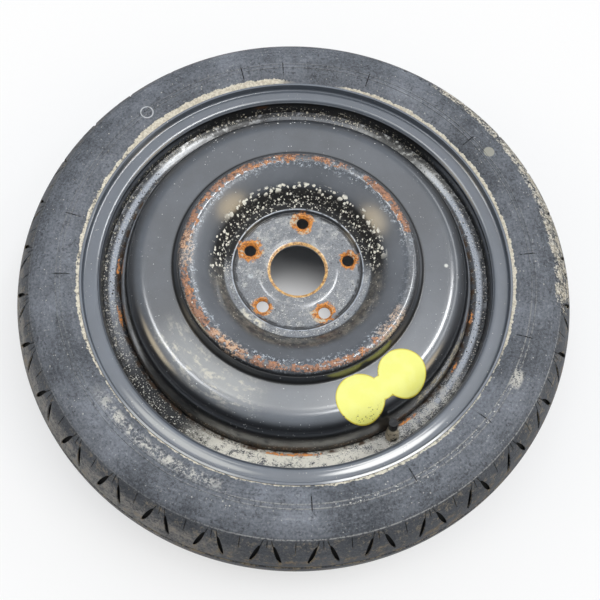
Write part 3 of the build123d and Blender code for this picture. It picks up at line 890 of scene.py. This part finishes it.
# Painted shade: a darker patch on the ledge's inner part on the far side.
f.layer(ledge * f.sector(98, 138, 10) * f.r.rise(208, 204) * 0.7, shade(58, 61, 66), rough=0.6, coat=0.2)
f.layer(ledge * f.sector(216, 252, 8) * 0.85, shade(19, 19, 19), rough=0.85)
f.layer(
    ledge * f.sector(52, 70, 6).most(f.sector(108, 126, 6)) * patches.rise(0.34, 0.5) * 0.8,
    shade(22, 22, 23), rough=0.8,
)
f.layer(
    ledge * f.sector(194, 252, 7) * patches.rise(0.34, 0.54) * f.specks(1.5, 0.75, 0.6),
    shade(198, 196, 188), rough=0.9,
)
f.layer(
    ledge * f.sector(248, 300, 9) * (grain * 0.5 + patches * 0.6).rise(0.42, 0.56),
    crust, rough=0.9, lift=0.3,
)
f.layer(
    ledge * f.sector(298, 330, 9) * (grain * 0.6 + patches * 0.5).rise(0.48, 0.62),
    shade(190, 188, 182), rough=0.9, lift=0.3,
)
f.layer(
    f.r.rise(202, 199) * f.z.rise(-26, -23) * patches.rise(0.42, 0.6),
    shade(70, 54, 40), rough=0.9, lift=0.3,
)
wall_foot = f.band(-18.5, -7, 3, f.z) * f.band(209.5, 216.5, 1)
f.layer(
    wall_foot * f.sector(52, 208, 8) * patches.rise(0.36, 0.5) * f.specks(2.4, 0.65, 0.62),
    shade(218, 211, 194), rough=0.9, lift=0.5,
)
f.layer(wall_foot * f.specks(1.9, 0.25), shade(186, 180, 168), rough=0.9)
for angle, half in ((107, 2), (183, 3), (200, 4), (275, 9), (312, 4), (335, 2), (353, 2)):
    streak = f.sector(angle - half, angle + half, 2) * f.band(197.5, 202, 1.6, f.r + (patches - 0.5) * 6)
    f.layer(
        (streak * (fine * 0.7 + patches * 0.6)).rise(0.5, 0.66) * f.z.rise(-24, -21),
        rust_tint, rough=0.9, lift=0.2,
    )
f.layer(f.z.rise(-2, 0) * patches.rise(0.45, 0.65) * f.specks(1.4, 0.08), shade(186, 184, 178), rough=0.8)
rim_paint = f.done()
dress(rim, rim_paint)
dress(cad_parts["weld_beads"], rim_paint)

# %% [markdown]
# Old rubber turns grey: a bloom of wax and dust lies on the sidewall, thinner on the tread. It is painted
# in large clouds, with scuffs drawn out around the wheel, as a tyre is rubbed, and pale lines on the thin
# ribs: dust with a painted highlight, stronger on the near side.

# %% Tyre rubber
f = Finish("tyre_rubber", shade(54, 57, 62), rough=0.6)
clouds = f.noise(70, 4, 0.6)
patches = f.noise(11, 5, 0.65)
fine = f.noise(2.6, 4, 0.7)
grain = f.noise(1.0, 2)
scuffs = f.streaks(26, 2.6, 4)
side = f.r.rise(292, 284)
f.layer(
    (clouds * 0.5 + scuffs * 0.15 + fine * 0.4).rise(0.34, 0.76) * (side * 0.58 + 0.22),
    shade(150, 155, 164), rough=0.6,
)
f.layer(grain.rise(0.5, 0.72) * 0.2, shade(146, 149, 154), rough=0.8)
f.layer((patches * 0.5 + fine * 0.5).rise(0.46, 0.36) * 0.5, shade(44, 46, 50), rough=0.55)
f.layer(side * scuffs.rise(0.58, 0.7) * fine.rise(0.54, 0.64) * 0.5, shade(178, 176, 168), rough=0.85)
# Dust and painted highlight: pale lines on the ribs and the shoulder's edge, stronger on the near side.
painted_highlight_side = f.sector(262, 352, 12) * 0.65 + 0.32
shoulder_edge, rib_line_half_width = 288.7, 0.6
for rib in (shoulder_edge, *ribs):
    f.layer(
        f.band(rib - rib_line_half_width, rib + rib_line_half_width, 0.4) * fine.rise(0.4, 0.54) * painted_highlight_side,
        shade(160, 160, 158), rough=0.7,
    )
f.tell()

# %% [markdown]
# Mud stays in the slots and dries pale on the shoulders. The depth below the tread's arc is worked out from
# radius and height, so that the slots' floors are painted dark as shade and only their edges are pale. A
# thick cake of it covers the far right of the sidewall.

# %% Mud on the tread
arc_r, arc_z = f.r - tread_centre, f.z - middle
depth = tread_radius - (arc_r * arc_r + arc_z * arc_z) ** 0.5
shoulder = f.r.rise(289.6, 291) * f.r.rise(314, 310)
mud = (patches * 0.6 + fine * 0.5).rise(0.56, 0.7)
f.layer(shoulder * mud * 0.6, shade(150, 139, 120), rough=0.9, lift=0.2)
f.layer(
    f.band(300, 314, 4) * f.sector(186, 256, 14) * (patches * 0.5 + fine * 0.5).rise(0.36, 0.56) * 0.75,
    shade(160, 156, 150), rough=0.9,
)
f.layer(
    f.band(304, 320, 4) * (patches * 0.6 + scuffs * 0.4).rise(0.5, 0.64) * 0.5,
    shade(140, 122, 94), rough=0.9,
)
f.layer(
    shoulder * depth.rise(0.3, 0.9) * (patches * 0.6 + fine * 0.4).rise(0.46, 0.56),
    shade(176, 164, 142), rough=0.9,
)
# Painted shade: the slots' floors are made near black.
f.layer(shoulder * depth.rise(1.0, 1.8), shade(9, 9, 10), rough=0.8)
far_mud = f.band(278, 309, 6) * f.sector(-6, 66, 9) * (patches * 0.6 + fine * 0.5)
mud_tint = f.mix(shade(176, 167, 148), shade(228, 222, 208), fine.rise(0.45, 0.62))
f.layer(far_mud.rise(0.48, 0.6) * 0.9, mud_tint, rough=0.9, lift=0.4)
f.layer(
    far_mud.rise(0.5, 0.46) * f.band(284, 309, 6) * f.sector(4, 72, 10) * fine.rise(0.5, 0.4),
    shade(22, 22, 23), rough=0.8,
)
f.tell()

# %% [markdown]
# A tyre works against the rim's lip and packs dirt into the gap, here in a ragged line that is wider at the
# upper left. The mould's vents leave dark radial lines. Two small paint marks, a dot and a ring, come from
# the tyre's balancing and sorting.

# %% Dirt at the lip, lines and marks
thick = f.sector(100, 146, 7)
reach = thick * 5.5 + f.sector(146, 214, 8) * 2.2 + f.sector(-14, 82, 5) * 2.2
reach = reach + f.sector(284, 318, 7) * 1.4 + 1.2
edge = f.r - 235.8 - (patches - 0.5) * 8 - (fine - 0.5) * 4
lip_dirt = (reach - edge).rise(-0.2, 0.5) * (1 - f.sector(84, 99, 3)) * f.z.rise(0, 4)
packed = thick.most(f.sector(-14, 82, 5)) * 0.15
dirt_tint = f.mix(shade(198, 188, 168), shade(228, 221, 204), fine.rise(0.4, 0.6))
f.layer(lip_dirt * (fine + packed).rise(0.36, 0.48), dirt_tint, rough=0.9, lift=0.3)
residue = f.sector(224, 256, 6) * f.band(243, 253, 3) * (patches * 0.6 + fine * 0.5).rise(0.5, 0.62)
smear = f.sector(335.5, 339, 1) * f.band(255, 266, 2) * (patches * 0.4 + fine * 0.7).rise(0.5, 0.58)
f.layer(residue.most(smear) * 0.9, shade(206, 203, 194), rough=0.9, lift=0.2)
f.layer(
    f.sector(284, 338, 8) * f.band(254.2, 260.4, 0.5) * f.specks(2.0, 0.5),
    shade(210, 208, 202), rough=0.9,
)
f.layer(side * patches.rise(0.42, 0.6) * f.specks(1.8, 0.12), shade(188, 186, 178), rough=0.9)
for angle in (10, 45, 77, 100, 111, 173, 189, 279, 303, 325, 348):
    off = abs(f.y * cos(radians(angle)) - f.x * sin(radians(angle)))
    line = off.rise(0.9, 0.3) * f.toward(angle).rise(0.5, 0.6) * f.band(245, 262, 2)
    f.layer(line * fine.rise(0.4, 0.5), shade(16, 16, 17), rough=0.8, lift=-0.3)
f.layer(f.spot(39.4, 263.5, 6.2) * f.z.rise(0, 4) * 0.85, shade(164, 162, 150), rough=0.7)
ring_place = (138.7, 256.9)
paint_ring = f.spot(*ring_place, 7.6, 0.5) - f.spot(*ring_place, 6.4, 0.5)
f.layer(paint_ring * f.z.rise(0, 4) * fine.rise(0.3, 0.44) * 0.9, shade(206, 208, 210), rough=0.7)
dress(tyre, f.done(gloss=0.3))

# %% [markdown]
# The sticker is a vinyl film with a slight gloss, a darker cut edge and some specks of dirt. The valve's
# rubber is grey with dust. Its brass pieces keep the solids' own meshes, because nothing shows of them
# but the tube's end when the cap is off.

# %% Sticker and valve finishes
f = Finish("yellow_film", shade(244, 243, 134), rough=0.5)
f.layer(f.noise(14, 3).rise(0.4, 0.6) * 0.4, shade(247, 247, 154), rough=0.42)
edge_width = 0.9
discs = [f.spot(angle, sticker_circle, sticker_disc_radius - edge_width, 0.5) for angle in sticker_angles]
inside = discs[0].most(discs[1]).most(f.spot(neck_place, sticker_circle, 12, 1))
f.layer(1 - inside, shade(214, 196, 52), rough=0.6)
f.layer((1 - inside) * f.specks(1.6, 0.35), shade(58, 54, 26), rough=0.8)
f.layer(
    f.band(175, 192, 5) * f.sector(284, 306, 4) * f.noise(8, 3).rise(0.42, 0.54) * f.specks(1.6, 0.6, 0.6),
    shade(70, 64, 28), rough=0.8,
)
dress(sticker, f.done(gloss=0.25))
f = Finish("valve_rubber", shade(30, 30, 31), rough=0.7)
f.layer(f.noise(5, 4, 0.6).rise(0.36, 0.52), shade(176, 166, 146), rough=0.92, lift=0.2)
valve_rubber = f.done()
dress(stem, valve_rubber)
dress(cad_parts["valve_core_seal"], valve_rubber)
f = Finish("cap_plastic", shade(20, 20, 22), rough=0.45)
f.layer(f.specks(1.6, 0.15), shade(150, 146, 138), rough=0.8)
dress(cap, f.done())
f = Finish("valve_brass", shade(206, 176, 104), rough=0.32)
f.layer(f.noise(2, 3).rise(0.45, 0.7) * 0.5, shade(150, 122, 70), rough=0.5)
valve_brass = f.done(metallic=1.0)
for node in ("valve_tube", "valve_core_body", "valve_core_pin"):
    dress(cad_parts[node], valve_brass)
f = Finish("spring_steel", shade(196, 197, 200), rough=0.3)
f.layer(f.noise(1, 2).rise(0.5, 0.7) * 0.4, shade(150, 150, 150), rough=0.45)
dress(spring, f.done(metallic=1.0))

# %% [markdown]
# The studio is a pale floor under a soft light from above, slightly behind the wheel. The light is a
# bright patch in the world's sky, because gloss needs something to mirror: the flat ring shows that patch
# as a grey sheen, while walls that face the camera mirror the dim side of the room and stay black.

# %% Light
world = bpy.data.worlds.new("studio")
bpy.context.scene.world = world
w = Graph(world)
sky = w.node("ShaderNodeTexCoord", out="Generated")
to_right, to_left, to_back = (w.dot(sky, axis) for axis in ((1, 0, 0), (-1, 0, 0), (0, 1, 0)))
soft_box = (0, 0.38, 0.925)
room = (0.025, 0.025, 0.027, 1)
# Each glow: its direction, the cosines where it starts and is full, and its radiance
for direction, fade, full, color in (
    ((0, 0.95, 0.3), -0.3, 0.7, (0.33, 0.34, 0.36)),  # the wall behind
    ((0, 0.17, 0.985), 0.24, 0.72, (0.55, 0.6, 0.67)),  # the ceiling
    (soft_box, 0.80, 0.95, (0.99, 1.03, 1.09)),
    ((0.117, 0.195, 0.974), 0.9965, 0.9988, (7.8, 7.8, 7.6)),  # two small lamps for the gutter
    ((-0.105, 0.2, 0.974), 0.9955, 0.9988, (3.4, 3.4, 3.2)),
    ((0.8, -0.2, 0.56), 0.968, 1.0, (3.2, 2.6, 1.7)),  # two warm lamps at the sides
    ((-0.8, -0.24, 0.55), 0.968, 1.0, (3.2, 2.7, 1.9)),
):
    near = w.dot(sky, Vector(direction).normalized()).rise(fade, full)
    room = w.mix(room, color + (1,), near)
away = w.dot(sky, Vector(soft_box).normalized())
# A thin bright ring around the soft box draws the lines along rounded bends
right_part = to_right.rise(0.02, 0.3)
left_part = to_left.rise(0.1, 0.4) * to_back.rise(0.3, 0.1) * 0.7
tube = away.rise(0.86, 0.875) * away.rise(0.925, 0.912) * to_back.rise(0.46, 0.3)
tube = tube * (right_part + left_part)
room = w.mix(room, (14, 14.2, 14.4, 1), tube)
screen = away.rise(0.64, 0.69) * away.rise(0.76, 0.71) * to_right.rise(0.25, 0.6)
room = w.mix(room, (3.0, 3.1, 3.2, 1), screen)
rays = w.node("ShaderNodeLightPath", out="Is Camera Ray")
room = w.mix(room, (1, 1, 1, 1), rays)
background = w.node("ShaderNodeBackground", None, {"Color": room, "Strength": 1.0})
w.node("ShaderNodeOutputWorld", None, {"Surface": background})
print("studio light:", len(w.tree.nodes), "nodes")

# %% [markdown]
# The floor is white paper. To the camera most of it is plain white, and the rest is the light that falls
# on it, so the wheel keeps a soft shadow. Below the bore a pool of light is painted on the floor.

# %% Floor
object_mode()
floor_height = -0.1175
bpy.ops.mesh.primitive_plane_add(size=6, location=(0, 0, floor_height))
floor = bpy.context.object
floor.name = "floor"
bpy.ops.object.transform_apply()
paper = bpy.data.materials.new("paper")
p = Graph(paper)
lit = p.node("ShaderNodeBsdfDiffuse", None, {"Color": shade(236, 236, 236)})
plain = p.node("ShaderNodeEmission", None, {"Color": (1, 1, 1, 1), "Strength": 1.0})
rays = p.node("ShaderNodeLightPath", out="Is Camera Ray").socket.node
seen = Val(p, rays.outputs["Is Camera Ray"])
for kind in ("Is Glossy Ray", "Is Transmission Ray"):
    seen = seen.most(Val(p, rays.outputs[kind]))
place = p.node("ShaderNodeTexCoord", out="Object")
spread = p.node("ShaderNodeVectorMath", {"operation": "LENGTH"}, {0: place}, "Value")
# Painted light: a pool of plain white on the floor below the bore, seen through it.
painted_glow_centre = (0, -0.03, floor_height)
painted_glow_distance = p.node("ShaderNodeVectorMath", {"operation": "DISTANCE"}, {0: place, 1: painted_glow_centre}, "Value")
share = spread.rise(0.2, 0.27) * 0.6 + spread.rise(0.34, 0.6) * 0.3 + painted_glow_distance.rise(0.1, 0.02) * 0.7
surface = p.node("ShaderNodeMixShader", None, {0: seen * share, 1: lit, 2: plain})
p.node("ShaderNodeOutputMaterial", None, {"Surface": surface})
dress(floor, paper)
print("floor at", floor_height)

# %% [markdown]
# The camera is a little less than a metre above the wheel and looks down at it with a slight roll. Its
# place follows from the wheel's circles: concentric rings at known heights show in a picture as
# ellipses, and one camera only makes them all fit.

# %% Camera
tilt, roll = radians(69.10), radians(6.33)
forward = Vector((0, cos(tilt), -sin(tilt)))
level, upward = Vector((1, 0, 0)), Vector((0, sin(tilt), cos(tilt)))
right = level * cos(roll) + upward * sin(roll)
up = upward * cos(roll) - level * sin(roll)
object_mode()
bpy.ops.object.camera_add(location=(0.0062, -0.3752, 0.8948))
camera = bpy.context.object
camera.rotation_euler = Matrix((right, up, -forward)).transposed().to_euler()
camera.data.sensor_width = 36
camera.data.lens = 52.84
bpy.context.scene.camera = camera
bpy.context.scene.view_settings.view_transform = "Standard"
print("camera:", [round(v, 3) for v in camera.location])

# %% [markdown]
